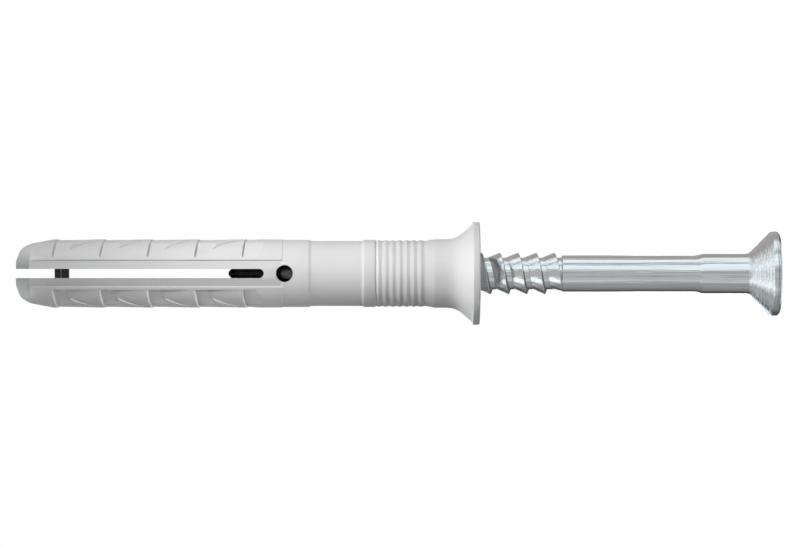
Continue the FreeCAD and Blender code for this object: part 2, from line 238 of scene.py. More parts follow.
corner_angle = math.atan2(RECESS_HALF, RECESS_ARM)
floor_angle = math.atan2(RECESS_HALF, RECESS_FLOOR_ARM)
quarter_turns = np.arange(5) * math.pi / 2
angles = np.unique(np.round(np.concatenate([
    np.linspace(0, 2 * math.pi, COLUMNS_ROUND + 1),
    *[quarter_turns + sign * angle for sign in (-1, 1) for angle in (corner_angle, floor_angle)],
]), ANGLE_PLACES))
angles = angles[(angles >= 0) & (angles <= 2 * math.pi)]

nail = Shell()
turned(nail, nail_profile, angles)
mouth_reach = cross_reach(angles, RECESS_ARM)
floor_reach = cross_reach(angles, RECESS_FLOOR_ARM)
face_reach = np.full_like(angles, nail_profile[0, 0])
recess_rows = [
    (np.zeros_like(angles), RECESS_DEPTH),
    (floor_reach, RECESS_DEPTH),
    (mouth_reach, RECESS_BEVEL),
    (mouth_reach + RECESS_BEVEL, 0.0),
    ((mouth_reach + face_reach) / 2, 0.0),
    (face_reach, 0.0),
]
nail.add(np.stack([
    np.stack([reach * np.cos(angles), reach * np.sin(angles), np.full_like(angles, height)], -1)
    for reach, height in recess_rows
]))

# %% [markdown]
# The thread is a sawtooth ridge wound round the core. Its section has a gentle
# flank towards the point and a steep flank towards the head, so the nail slides in
# and grips when pulled. A helix carries the section: height grows with the angle
# by one pitch a turn. Over the first and last part of a turn the crest runs out
# into the core along a quarter circle, and each end is closed at its middle.

# %% Nail screw thread
THREAD_PITCH = 2.18
TOOTH_FLANK = 0.2
TOOTH_RAMP = 1.45
TOOTH_FOOT = 0.25
TOOTH_START = 0.1
STEPS_A_TURN = 72
RUN_OUT = 0.22

turns = (THREAD_HIGH - THREAD_LOW - TOOTH_FLANK - TOOTH_RAMP) / THREAD_PITCH
sweep = np.linspace(0, turns, int(turns * STEPS_A_TURN) + 1)
fade = np.clip(np.minimum(sweep, turns - sweep) / RUN_OUT, 0.0, 1.0)
fade = np.sqrt(1 - (1 - fade) ** 2)
grown = TOOTH_START + fade[:, None] * (1 - TOOTH_START)
foot_radius = ROOT_RADIUS - TOOTH_FOOT
section = soften([
    (foot_radius, TOOTH_FLANK + TOOTH_RAMP, 0.0),
    (ROOT_RADIUS, TOOTH_FLANK + TOOTH_RAMP, 0.15),
    (CREST_RADIUS, TOOTH_FLANK, 0.06),
    (ROOT_RADIUS, 0.0, 0.05),
    (foot_radius, 0.0, 0.0),
], steps=4)
section = np.concatenate([section, section[:1]])
tooth_radius = foot_radius + (section[:, 0] - foot_radius) * grown
sweep_angle = math.pi + 2 * math.pi * sweep[:, None]
tooth = np.stack([
    tooth_radius * np.cos(sweep_angle),
    tooth_radius * np.sin(sweep_angle),
    THREAD_LOW + section[:, 1] + THREAD_PITCH * sweep[:, None],
], -1)
first_cap, last_cap = [np.broadcast_to(end.mean(0), end.shape)[None] for end in (tooth[0], tooth[-1])]
nail.add(np.concatenate([first_cap, tooth, last_cap]))
nail_piece = nail.make("zinc_nail_screw")

# %% [markdown]
# The sleeve is moulded. Its outside is a profile carried round Z, then changed:
# a band is let in along the slit, and pockets are cut below each barb. The barbed
# zone starts with a small step at the end of the collar. Heights are measured from
# the face of the flange.

# %% Sleeve profile
FLANGE_RIM = 0.84
FLANGE_EDGE = 0.1
FLANGE_LIP = 0.245
FLARE_TOP = 2.84
FLARE_HOLLOW = 1.1
THROAT_RADIUS = 4.11
THROAT_END = 5.4
THROAT_TAPER = 1.14
BODY_RADIUS = 3.895
RIDGE_HEIGHT = 0.115
RIDGE_FIRST = 7.07
RIDGE_PITCH = 0.84
RIDGE_COUNT = 7
RIDGE_ROUND = 0.07
RING_START = 12.41
RING_FOOT_DEPTH = 0.01
RING_FOOT_RUN = 0.03
RING_RISE = 0.14
RING_END = 13.8
RING_BEVEL = 0.32
COLLAR_RADIUS = 4.025
COLLAR_START = 20.46
COLLAR_BEVEL = 0.34
ZONE_START = 23.58
ZONE_EDGE = 0.06
ZONE_STEP = 0.045
LAND_RADIUS = 4.1
BARB_FIRST = 27.92
BARB_PITCH = 5.64
BARB_COUNT = 5
NOSE_START = 51.08
NOSE_RADIUS = 3.56
NOSE_CONE_END = 53.96
TIP_SHOULDER_RADIUS = 2.9
TIP_SHOULDER = 55.08
TIP_RADIUS = 1.5
SLEEVE_LENGTH = tip_z - face_z
COUNTERSINK_RADIUS = 5.23
COUNTERSINK_RIM = 0.96
COUNTERSINK_LIP = 0.05
BORE_RADIUS = 2.6
BORE_STEP = 24.42
TIGHT_RADIUS = 1.72
TIGHT_END = 30.24
BORE_END_RADIUS = 0.9
BRIDGE_LOW = 49.3
BRIDGE_LENGTH = 1.6
BRIDGE_HALF = 0.8
BRIDGE_CROWN = 0.25
SLIT_HALF = 0.55
SLIT_END = 25.72
WINDOW_PLACE = 23.28
WINDOW_RADIUS = 1.01
BAND_HALF = 1.59
BAND_DEPTH = 0.1
BAND_FALL = 0.45
BAND_END = 53.7
BAND_STEP = 0.03
TIP_EDGE = 0.35

ridges = []
for number in range(RIDGE_COUNT):
    middle = RIDGE_FIRST + number * RIDGE_PITCH
    ridges += [
        (BODY_RADIUS, middle - RIDGE_PITCH / 2, RIDGE_ROUND),
        (BODY_RADIUS + RIDGE_HEIGHT, middle, RIDGE_ROUND),
    ]

foot = soften([
    (COUNTERSINK_RADIUS + COUNTERSINK_LIP, 0.0, 0.0),
    (flange_radius - FLANGE_EDGE, 0.0, 0.06),
    (flange_radius, FLANGE_EDGE, 0.06),
    (flange_radius, FLANGE_RIM, 0.08),
    (flange_radius - FLANGE_LIP, FLANGE_RIM, 0.06),
    (THROAT_RADIUS, FLARE_TOP, FLARE_HOLLOW),
    (THROAT_RADIUS, THROAT_END, 0.1),
    (BODY_RADIUS, THROAT_END + THROAT_TAPER, 0.4),
    *ridges,
    (BODY_RADIUS - RING_FOOT_DEPTH, RING_START - RING_FOOT_RUN, 0.04),
    (COLLAR_RADIUS, RING_START + RING_RISE, 0.06),
    (COLLAR_RADIUS, RING_END, 0.06),
    (BODY_RADIUS, RING_END + RING_BEVEL, 0.08),
    (BODY_RADIUS, COLLAR_START - COLLAR_BEVEL, 0.1),
    (COLLAR_RADIUS, COLLAR_START, 0.06),
    (COLLAR_RADIUS, WINDOW_PLACE - WINDOW_RADIUS, 0.0),
])
nose_profile = soften([
    (LAND_RADIUS, BARB_FIRST + BARB_PITCH * (BARB_COUNT - 1), 0.0),
    (LAND_RADIUS, NOSE_START, 0.5),
    (NOSE_RADIUS, NOSE_CONE_END, 0.5),
    (TIP_SHOULDER_RADIUS, TIP_SHOULDER, 0.45),
    (TIP_RADIUS, SLEEVE_LENGTH, 0.0),
], steps=6)
upper_profile = np.concatenate([
    [
        (COLLAR_RADIUS, ZONE_START - ZONE_EDGE),
        (COLLAR_RADIUS + ZONE_STEP, ZONE_START),
        (LAND_RADIUS, BARB_FIRST),
    ],
    nose_profile,
])

# %% [markdown]
# From the window up to the tip the outside needs rows at exact heights. They follow
# the round window and the round end of the slit, crowd together at each steep barb
# face, and are even elsewhere. Rows under a barb are distances below its face.

# %% Sleeve rows
WINDOW_STEPS = 28
SLIT_STEPS = 8
ROWS_TO_SLIT = 8
FACE_ROWS = (0.0, 0.045, 0.09, 0.13, 0.2)
EVEN_START = 0.3
EVEN_GAP = 0.12
EVEN_ROWS = 39
LAST_GAP = 0.04
ROW_GAP = 0.1
CONE_ROWS = 12
TIP_ROWS = 10
HEIGHT_PLACES = 4
ROW_SLACK = 0.001


def round_rows(start, radius, turn, steps):
    """Heights of a round edge at even angles t, from 0 to a turn: start + radius (1 - cos(t))."""
    return start + radius * (1 - np.cos(np.linspace(0, turn, steps + 1)))


slit_round = SLIT_END + SLIT_HALF
tooth_rows = np.concatenate([
    FACE_ROWS,
    np.linspace(EVEN_START, BARB_PITCH - EVEN_GAP, EVEN_ROWS),
    [BARB_PITCH - LAST_GAP],
])
upper = np.unique(np.round(np.concatenate([
    round_rows(WINDOW_PLACE - WINDOW_RADIUS, WINDOW_RADIUS, math.pi, WINDOW_STEPS),
    [ZONE_START - ZONE_EDGE, ZONE_START],
    np.linspace(WINDOW_PLACE + WINDOW_RADIUS, SLIT_END, ROWS_TO_SLIT),
    round_rows(SLIT_END, SLIT_HALF, math.pi / 2, SLIT_STEPS),
    BARB_FIRST - tooth_rows[tooth_rows < BARB_FIRST - slit_round - ROW_GAP],
    *[BARB_FIRST + BARB_PITCH * number - tooth_rows for number in range(1, BARB_COUNT)],
    [BRIDGE_LOW, BAND_END, BAND_END + BAND_STEP],
    nose_profile[1:, 1],
    np.linspace(NOSE_START, NOSE_CONE_END, CONE_ROWS),
    np.linspace(NOSE_CONE_END, SLEEVE_LENGTH, TIP_ROWS),
]), HEIGHT_PLACES))
base_radius = np.interp(upper, upper_profile[:, 1], upper_profile[:, 0])
print("rows below the window", len(foot), "and above", len(upper))

# %% [markdown]
# Each barb rises to a steep face that looks to the flange. Below the face lie, on
# each quarter of the sleeve, a flat facet and then a scooped ramp that runs back to
# the full radius. The facet is a plane, so its radius is distance / cos(angle from
# its middle). The ramp ends outwards on a sloping shelf, which is a plane too: its
# radius is its distance along Y / cos(angle). The lowest pocket has the facet alone,
# and it gets shallower towards the collar.

# %% Barb pockets
LAND_EDGE = 1.955
SIDE_DEPTH = 0.11
FACET_ANGLE = math.radians(44.0)
FACET_DEPTH = 0.33
FACET_LEAST_COS = 0.5
FACET_END = 1.38
FACET_END_PLACE = 2.25
FACET_END_SLOPE = 0.71
FACET_END_WIDTH = 0.1
CREASE_END = 3.25
CREASE_FADE = 2.2
RAMP_DEPTH = 0.32
RAMP_START = 1.5
RAMP_LENGTH = 4.1
SHELF_HEIGHT = 2.62
SHELF_START = 1.87
SHELF_END = 4.75
SHELF_SLOPE = 0.576
SHELF_LEAST_COS = 0.02
POCKET_ROUND = 0.25
POCKET_WALL = 0.04
FACE_RUN = 0.13
LAST_END = 1.45
LAST_END_PLACE = 2.2
LAST_END_SLOPE = 0.45
LAST_FADE = 0.75


def step_up(value):
    """Smooth step from 0 to 1: 3 t^2 - 2 t^3."""
    value = np.clip(value, 0.0, 1.0)
    return value * value * (3 - 2 * value)


def pocket_mask(below, across):
    """1 inside a pocket and 0 outside.

    The wall under the face takes FACE_RUN and the wall at the land POCKET_WALL. In
    the rounded corner the run changes from one to the other with the angle.
    """
    inside = across - LAND_EDGE
    under = np.maximum(POCKET_ROUND - below, 0.0)
    beside = np.maximum(POCKET_ROUND - inside, 0.0)
    span = np.hypot(under, beside)
    turned_share = np.where(span > 0, (under / np.maximum(span, TINY)) ** 2, 0.0)
    corner = (POCKET_ROUND - span) / (POCKET_WALL + (FACE_RUN - POCKET_WALL) * turned_share)
    plain = np.minimum(below / FACE_RUN, inside / POCKET_WALL)
    return np.clip(np.where((under > 0) & (beside > 0), corner, plain), 0.0, 1.0)


def under_barb(height):
    """Number of the barb above a height, and the distance under its face, up to one pitch."""
    number = np.ceil((height - BARB_FIRST) / BARB_PITCH - TINY)
    return number, BARB_FIRST + number * BARB_PITCH - height


def ramp_radius(below, radius):
    """Radius of the scooped ramp, which runs back to the full radius."""
    return radius - RAMP_DEPTH * np.clip(1 - (below - RAMP_START) / RAMP_LENGTH, 0, 1)


def shelf_plane(below):
    """Distance of the shelf from the axis along Y, which falls evenly under the face."""
    return SHELF_HEIGHT - SHELF_SLOPE * (below - SHELF_START)


def barb_depth(height, across, angle, radius):
    """How far the surface lies below the full radius, for points of one quarter."""
    number, below = under_barb(height)
    lowest = number <= 0
    active = (number >= 0) & (number < BARB_COUNT) & (below >= 0)
    side = SIDE_DEPTH * np.clip(1 - below / np.where(lowest, RAMP_START, BARB_PITCH), 0, 1)
    facet = radius - (radius - FACET_DEPTH) / np.maximum(np.cos(angle - FACET_ANGLE), FACET_LEAST_COS)
    facet_end = np.where(
        lowest,
        LAST_END + LAST_END_SLOPE * (across - LAST_END_PLACE),
        FACET_END + FACET_END_SLOPE * (across - FACET_END_PLACE),
    )
    facet *= np.where(lowest, 1 - LAST_FADE * np.clip(below / facet_end, 0, 1), 1.0)
    crease = CREASE_FADE * np.maximum(across - CREASE_END, 0.0)
    end_width = FACET_END_WIDTH + np.where(lowest, 0.0, crease)
    on_facet = step_up((facet_end - below) / end_width + 0.5)
    shelf = shelf_plane(below) / np.maximum(np.cos(angle), SHELF_LEAST_COS)
    scoop = np.maximum(radius - np.maximum(ramp_radius(below, radius), shelf), 0.0)
    scoop = np.where(lowest, 0.0, scoop)
    depth = np.maximum(side, np.maximum(facet, 0) * on_facet + scoop * (1 - on_facet))
    return np.where(active, depth * pocket_mask(below, across), 0.0)


# %% [markdown]
# One quarter of the outside is worked out and then mirrored, because the mould is
# the same on all four. Columns of the grid near the slit stay at a fixed distance
# across it, so that the slit, the band and the land keep straight edges. The other
# columns share out the angle that is left up to the side of the sleeve. The rows of
# the barbed part lean with the barb faces, which lie nearer the tip beside the slit
# than at the side of the sleeve.

# %% Sleeve outside
NEAR_COLUMNS = 7
NEAR_END = 1.52
SIDE_COLUMNS = 40
SHELF_COLUMNS = (14, 18)
EDGE_HALF = 0.045
LAND_GAP = 0.005
FIXED_COLUMNS = (
    BAND_HALF - EDGE_HALF,
    BAND_HALF + EDGE_HALF,
    1.7,
    1.84,
    LAND_EDGE - LAND_GAP,
    LAND_EDGE + POCKET_WALL,
)
TIP_BLEND = (0.03, 0.2)
TIP_BLEND_RUN = (1.2, 2.0)
LEAN = math.tan(math.radians(7.6))
LEAN_RUN = 1.2
LEAN_HIGH = 53.5
FOOT_COLUMNS = 60


def opening(height):
    """Half width of the opening along X: the window, the round slit end, then the slit."""
    window = np.sqrt(np.maximum(WINDOW_RADIUS ** 2 - (height - WINDOW_PLACE) ** 2, 0))
    slit_end = np.sqrt(np.maximum(SLIT_HALF ** 2 - (height - slit_round) ** 2, 0))
    slit = np.where(height < slit_round, slit_end, SLIT_HALF)
    return np.where(height < SLIT_END, window, slit)


def tip_width(radius, height, across):
    """Share of its width along Y that the nose keeps, where a slope thins it to the tip.

    The slope is a straight line from the floor of the band to the tip's edge. It meets
    the full width by a smooth least value, -k log(exp(-a/k) + exp(-b/k)), and k grows
    with the distance from the slit.
    """
    run = (SLEEVE_LENGTH - height) / (SLEEVE_LENGTH - BAND_END)
    start = np.interp(BAND_END, height, radius) - BAND_DEPTH
    share = ((TIP_EDGE + (start - TIP_EDGE) * run) / radius)[:, None]
    blend = np.interp(across, TIP_BLEND_RUN, TIP_BLEND)
    return -blend * np.logaddexp(-share / blend, -1 / blend)


def shelf_angles(height):
    """Angles of the shelf's inner and outer edge at each height.

    They lie where plane / cos(angle) meets the ramp and the full radius. Between the
    end of one shelf and the start of the next the angles run back evenly.
    """
    below = under_barb(height)[1] % BARB_PITCH
    on_shelf = (below >= SHELF_START) & (below <= SHELF_END)
    past = np.where(below > SHELF_END, below - SHELF_END, below + BARB_PITCH - SHELF_END)
    back = np.where(on_shelf, 0.0, past / (SHELF_START + BARB_PITCH - SHELF_END))
    places = (np.clip(below, SHELF_START, SHELF_END), SHELF_START, SHELF_END)
    edges = []
    for radius_at in (lambda below: ramp_radius(below, LAND_RADIUS), lambda below: LAND_RADIUS):
        here, low, high = [
            np.arccos(np.clip(shelf_plane(place) / radius_at(place), 0, 1))
            for place in places
        ]
        edges.append(np.where(back > 0, high + (low - high) * back, here))
    return edges


def quarter_angles(radius, half, height):
    """Angle from the slit plane of each column: fixed distances first, then shares up to the side.

    Where there are barbs, two of the columns follow the edges of the shelf.
    """
    half = half[:, None]
    shrink = np.clip(radius / NOSE_RADIUS, 0, 1)[:, None]
    near = half + (NEAR_END - half) * np.linspace(0, 1, NEAR_COLUMNS)
    fixed = np.broadcast_to(FIXED_COLUMNS, (len(radius), len(FIXED_COLUMNS)))
    near = half + (np.concatenate([near, fixed], 1) - half) * shrink
    first = np.arcsin(near / radius[:, None])
    start = first[:, -1:]
    columns = np.arange(1, SIDE_COLUMNS + 1)
    even = start + (math.pi / 2 - start) * columns / SIDE_COLUMNS
    followed = np.stack([
        np.interp(columns, [0, *SHELF_COLUMNS, SIDE_COLUMNS], [low, *edges, math.pi / 2])
        for low, *edges in zip(start[:, 0], *shelf_angles(height))
    ])
    last_barb = BARB_FIRST + BARB_PITCH * (BARB_COUNT - 1)
    barbed = (height > BARB_FIRST + ROW_SLACK) & (height < last_barb + ROW_SLACK)
    return np.concatenate([first, np.where(barbed[:, None], followed, even)], 1)


def outside(radius, height):
    """Points of one quarter, towards -Y and +X, as (rows, columns, 3) in millimetres."""
    angle = quarter_angles(radius, opening(height), height)
    across = radius[:, None] * np.sin(angle)
    width = tip_width(radius, height, across)
    radius = radius[:, None]
    height = np.broadcast_to(height[:, None], angle.shape)
    depth = barb_depth(height, across, angle, radius)
    band = radius - BAND_DEPTH / 2 - BAND_FALL * np.maximum(across - SLIT_HALF, 0)
    in_band = (across < BAND_HALF) & (height >= ZONE_START) & (height <= BAND_END + ROW_SLACK)
    towards = np.where(in_band, band, (radius * np.cos(angle) - depth * np.cos(angle)) * width)
    across = np.where(in_band, across, across - depth * np.sin(angle))
    rise = np.clip((height - slit_round) / LEAN_RUN, 0, 1)
    fall = np.clip((LEAN_HIGH - height) / LEAN_RUN, 0, 1)
    raised = LEAN * rise * fall * radius * np.cos(angle)
    return np.stack([across, -towards, face_z + height + raised], -1)


def whole_half(quarter):
    """Join a quarter and its mirror in Y into the +X half of the sleeve."""
    mirrored = quarter[:, ::-1] * np.array([1, -1, 1])
    return np.concatenate([quarter, mirrored[:, 1:]], 1)


def add_halves(shell, grid, flip=False):
    """Add a grid and its mirror in X."""
    shell.add(grid, flip)
    shell.add(grid * np.array([-1, 1, 1]), not flip)


def half_turn(radius, height, columns):
    """Points of the +X half of a turned wall: radius (sin, -cos) from slit edge to slit edge."""
    first = np.arcsin(opening(height) / radius)[:, None]
    angle = first + (math.pi - 2 * first) * np.linspace(0, 1, columns + 1)
    return np.stack([
        radius[:, None] * np.sin(angle),
        -radius[:, None] * np.cos(angle),
        np.broadcast_to(face_z + height[:, None], angle.shape),
    ], -1)


def seam(coarse, fine):
    """Join a coarse edge to a fine one: each fine point meets the nearest coarse point by share."""
    nearest = np.round(np.linspace(0, len(coarse) - 1, len(fine))).astype(int)
    return np.stack([coarse[nearest], fine])


sleeve = Shell()
lower_half = half_turn(foot[:, 0], foot[:, 1], FOOT_COLUMNS)
upper_half = whole_half(outside(base_radius, upper))
add_halves(sleeve, lower_half)
add_halves(sleeve, seam(lower_half[-1], upper_half[0]))
add_halves(sleeve, upper_half)

# %% [markdown]
# The bore is turned too, up to its flat end under the bridge. Flat strips join the
# outside to the bore round the window and along both faces of the slit. Their rows
# slant where the outside leans, because the bore's rows stay level. Past the end of
# the bore the faces of the slit run right across the plug: a middle field of level
# rows lies between the strips, and gets narrower with the nose.

# %% Sleeve bore and slit faces
BORE_COLUMNS = 24
STRIP_COLUMNS = 4
CHORD_SHARE = 0.6

at_window_end = np.searchsorted(upper, WINDOW_PLACE + WINDOW_RADIUS - TINY)
at_slit_end = np.searchsorted(upper, SLIT_END - TINY)
at_bore_end = np.searchsorted(upper, BRIDGE_LOW - TINY)
mouth_profile = soften([
    (COUNTERSINK_RADIUS, 0.0, 0.0),
    (COUNTERSINK_RADIUS, COUNTERSINK_RIM, 0.1),
    (BORE_RADIUS, COUNTERSINK_RIM + COUNTERSINK_RADIUS - BORE_RADIUS, 0.1),
    (BORE_RADIUS, BORE_STEP, 0.0),
])
mouth_profile = mouth_profile[mouth_profile[:, 1] < upper[0] - ROW_GAP]
bore_profile = np.array([
    (BORE_RADIUS, BORE_STEP),
    (TIGHT_RADIUS, BORE_STEP + BORE_RADIUS - TIGHT_RADIUS),
    (TIGHT_RADIUS, TIGHT_END),
    (BORE_END_RADIUS, BRIDGE_LOW),
])
bore_heights = upper[:at_bore_end + 1]
bore_radius = np.interp(bore_heights, bore_profile[:, 1], bore_profile[:, 0])
mouth_bore = half_turn(mouth_profile[:, 0], mouth_profile[:, 1], BORE_COLUMNS)
upper_bore = half_turn(bore_radius, bore_heights, BORE_COLUMNS)
add_halves(sleeve, np.concatenate([mouth_bore, upper_bore]), flip=True)
add_halves(sleeve, seam(mouth_bore[0], lower_half[0]))


def strip(inner, outer):
    """Flat rows from an inner edge to an outer edge: inner + (outer - inner) share."""
    share = np.linspace(0, 1, STRIP_COLUMNS + 1)[None, :, None]
    return inner[:, None] + (outer - inner)[:, None] * share


for first, last in ((0, at_window_end), (at_slit_end, at_bore_end)):
    rows = slice(first, last + 1)
    for side, flip in ((0, False), (-1, True)):
        add_halves(sleeve, strip(upper_bore[rows, side], upper_half[rows, side]), flip)

nose_outer = upper_half[at_bore_end:]
chord = upper_bore[-1].copy()
chord[:, 0] = SLIT_HALF
chord[:, 1] = np.linspace(chord[0, 1], chord[-1, 1], BORE_COLUMNS + 1)
chord_rows = np.repeat(chord[None], len(nose_outer), 0)
chord_rows[:, :, 1] *= np.minimum(1, CHORD_SHARE * nose_outer[:, :1, 1] / chord[0, 1])
chord_rows[:, :, 2] = face_z + upper[at_bore_end:, None]
add_halves(sleeve, np.stack([upper_bore[-1], chord]), flip=True)
add_halves(sleeve, chord_rows, flip=True)
for side, flip in ((0, False), (-1, True)):
    add_halves(sleeve, strip(chord_rows[:, side], nose_outer[:, side]), flip)

# %% [markdown]
# The tip is closed between the outside and the slit faces. The bridge is a bar
# across the slit with a crown on its front and back. Its ends stand a little way
# inside the halves, and each is closed at its middle.

# %% Sleeve tip and bridge
BRIDGE_ROOT = 0.1

tip_chord = np.concatenate([
    strip(chord_rows[-1:, 0], nose_outer[-1:, 0])[0, ::-1],
    chord_rows[-1, 1:-1],
    strip(chord_rows[-1:, -1], nose_outer[-1:, -1])[0],
])
add_halves(sleeve, seam(tip_chord, upper_half[-1]), flip=True)

bridge_section = np.array([
    (-BRIDGE_HALF, 0.0),
    (BRIDGE_HALF, 0.0),
    (BRIDGE_HALF + BRIDGE_CROWN, BRIDGE_LENGTH / 2),
    (BRIDGE_HALF, BRIDGE_LENGTH),
    (-BRIDGE_HALF, BRIDGE_LENGTH),
    (-BRIDGE_HALF - BRIDGE_CROWN, BRIDGE_LENGTH / 2),
    (-BRIDGE_HALF, 0.0),
])
bridge_middle = np.array([[0.0, BRIDGE_LENGTH / 2]] * len(bridge_section))
bridge_end = SLIT_HALF + BRIDGE_ROOT
sleeve.add(np.stack([
    np.column_stack([np.full(len(ring), place), ring[:, 0], face_z + BRIDGE_LOW + ring[:, 1]])
    for place, ring in (
        (-bridge_end, bridge_middle),
        (-bridge_end, bridge_section),
        (bridge_end, bridge_section),
        (bridge_end, bridge_middle),
    )
]))
sleeve_piece = sleeve.make("nylon_expansion_sleeve")

# %% [markdown]
# Finishes and the surround are node trees. These helpers add nodes to a tree and
# give back the last one's output. An input takes such an output or a plain value.

# %% Node helpers
SPAN_EDGE = 0.02
NO_LOW = -1.0


def grey(level):
    """A grey as red, green, blue and alpha."""
    return (level, level, level, 1.0)


def feed(tree, socket, value):
    """Link an output to a socket, or give the socket a plain value."""
    if isinstance(value, bpy.types.NodeSocket):
        tree.links.new(value, socket)
    else:
        socket.default_value = value


def add_math(tree, operation, *values):
    """Work with up to three values."""
    node = tree.nodes.new("ShaderNodeMath")
    node.operation = operation
    for socket, value in zip(node.inputs, values):
        feed(tree, socket, value)
    return node.outputs["Value"]


def add_product(tree, first, *rest):
    """Multiply masks: the result is 1 where all of them are."""
    for mask in rest:
        first = add_math(tree, "MULTIPLY", first, mask)
    return first


def add_range(tree, value, start, end, low=0.0, high=1.0):
    """Map start..end to low..high, held outside."""
    node = tree.nodes.new("ShaderNodeMapRange")
    names = ("Value", "From Min", "From Max", "To Min", "To Max")
    for name, given in zip(names, (value, start, end, low, high)):
        feed(tree, node.inputs[name], given)
    return node.outputs["Result"]


def add_span(tree, value, low, high, soft=SPAN_EDGE):
    """1 between two lengths in millimetres, with a crisp start and an end that fades over a soft length.

    NO_LOW as the low length leaves the start open, for a value that is never below 0.
    """
    rise = add_range(tree, value, (low - SPAN_EDGE) * MM, low * MM)
    fall = add_range(tree, value, high * MM, (high + soft) * MM, 1.0, 0.0)
    return add_math(tree, "MULTIPLY", rise, fall)


def add_mix(tree, factor, first, second, kind="MIX"):
    """Mix two colours by a factor; kind is the way to mix."""
    node = tree.nodes.new("ShaderNodeMix")
    node.data_type = "RGBA"
    node.blend_type = kind
    for name, value in (("Factor", factor), ("A", first), ("B", second)):
        feed(tree, node.inputs[name], value)
    return node.outputs["Result"]


def add_parts(tree, vector):
    """Split a vector into X, Y and Z."""
    node = tree.nodes.new("ShaderNodeSeparateXYZ")
    feed(tree, node.inputs["Vector"], vector)
    return node.outputs


def add_bump(tree, height, distance, strength=1.0, before=None):
    """Bump from a height; distance is in metres. A normal from before is carried on."""
    node = tree.nodes.new("ShaderNodeBump")
    for name, value in (("Strength", strength), ("Distance", distance), ("Height", height)):
        feed(tree, node.inputs[name], value)
    if before is not None:
        feed(tree, node.inputs["Normal"], before)
    return node.outputs["Normal"]


def new_finish(name):
    """A new material, its tree, its shader's inputs, and the place as a vector and as X, Y and Z."""
    material = bpy.data.materials.new(name)
    material.use_nodes = True
    tree = material.node_tree
    place = tree.nodes.new("ShaderNodeTexCoord").outputs["Object"]
    return material, tree, tree.nodes["Principled BSDF"].inputs, place, add_parts(tree, place)


# %% [markdown]
# Two finishes need a fine uneven surface: the moulded nylon and the zinc. One node
# group makes it from noise on the place it is given, in metres, and gives out a
# height for bump and a mask for colour and roughness.

# %% Surface grain group
NOISE_DETAIL = 3.0
NOISE_MIDDLE = 0.5


def grain_group():
    """Noise on a place whose Z is multiplied by Stretch.

    Height is the noise n, and Mask is (n - middle) Contrast + middle, held to 0..1.
    """
    group = bpy.data.node_groups.new("surface_grain", "ShaderNodeTree")
    group.interface.new_socket("Place", in_out="INPUT", socket_type="NodeSocketVector")
    for name, value in (("Scale", 1000.0), ("Stretch", 1.0), ("Contrast", 1.0)):
        socket = group.interface.new_socket(name, in_out="INPUT", socket_type="NodeSocketFloat")
        socket.default_value = value
    for name in ("Height", "Mask"):
        group.interface.new_socket(name, in_out="OUTPUT", socket_type="NodeSocketFloat")
    given = group.nodes.new("NodeGroupInput").outputs
    leave = group.nodes.new("NodeGroupOutput").inputs
    spread = group.nodes.new("ShaderNodeCombineXYZ")
    for name, value in (("X", 1.0), ("Y", 1.0), ("Z", given["Stretch"])):
        feed(group, spread.inputs[name], value)
    squeeze = group.nodes.new("ShaderNodeVectorMath")
    squeeze.operation = "MULTIPLY"
    feed(group, squeeze.inputs[0], given["Place"])
    feed(group, squeeze.inputs[1], spread.outputs["Vector"])
    noise = group.nodes.new("ShaderNodeTexNoise")
    squeezed = squeeze.outputs["Vector"]
    for name, value in (("Vector", squeezed), ("Scale", given["Scale"]), ("Detail", NOISE_DETAIL)):
        feed(group, noise.inputs[name], value)
    centred = add_math(group, "SUBTRACT", noise.outputs["Fac"], NOISE_MIDDLE)
    widened = add_math(group, "MULTIPLY_ADD", centred, given["Contrast"], NOISE_MIDDLE)
    widened.node.use_clamp = True
    feed(group, leave["Height"], noise.outputs["Fac"])
    feed(group, leave["Mask"], widened)
    return group


surface_grain = grain_group()


def add_grain(tree, place, scale, stretch, contrast):
    """Put the group in a tree with its own values."""
    node = tree.nodes.new("ShaderNodeGroup")
    node.node_tree = surface_grain
    for name, value in (("Place", place), ("Scale", scale), ("Stretch", stretch), ("Contrast", contrast)):
        feed(tree, node.inputs[name], value)
    return node.outputs


# %% [markdown]
# The sleeve is light grey nylon, straight from the mould: a satin surface with a
# very fine grain and hardly any colour of its own. The floor of the band is given a
# darker grey. The tip beside the slit gets painted shade. The bridge gets painted
# shade, almost black in its narrow slit, with a painted highlight along its crown.
# Each grain is its scale, stretch and contrast.

# %% Nylon
NYLON_IOR = 1.5
NYLON_GREYS = (0.70, 0.745)
NYLON_ROUGHNESS = (0.42, 0.52)
FINE_GRAIN = (5200.0, 1.0, 1.6)
FINE_HEIGHT = 0.00002
FINE_STRENGTH = 0.35
BROAD_GRAIN = (650.0, 0.5, 1.5)
BAND_GREY = 0.66
# Painted shade on the tip beside the slit: its grey, half width and soft length.
TIP_SHADE_GREY = 0.27
TIP_SHADE_HALF = 0.5
TIP_SHADE_SOFT = 2.4
PAST_TIP = 1.0
# Painted shade on the bridge in its narrow slit.
BRIDGE_SHADE_GREY = 0.08
BRIDGE_SIDE_GAP = 0.005
BRIDGE_ROOM = 0.1
# Painted highlight along the bridge's crown: its grey, half length and soft length.
CROWN_HIGHLIGHT_GREY = 0.45
CROWN_HIGHLIGHT_HALF = 0.05
CROWN_HIGHLIGHT_SOFT = 0.04


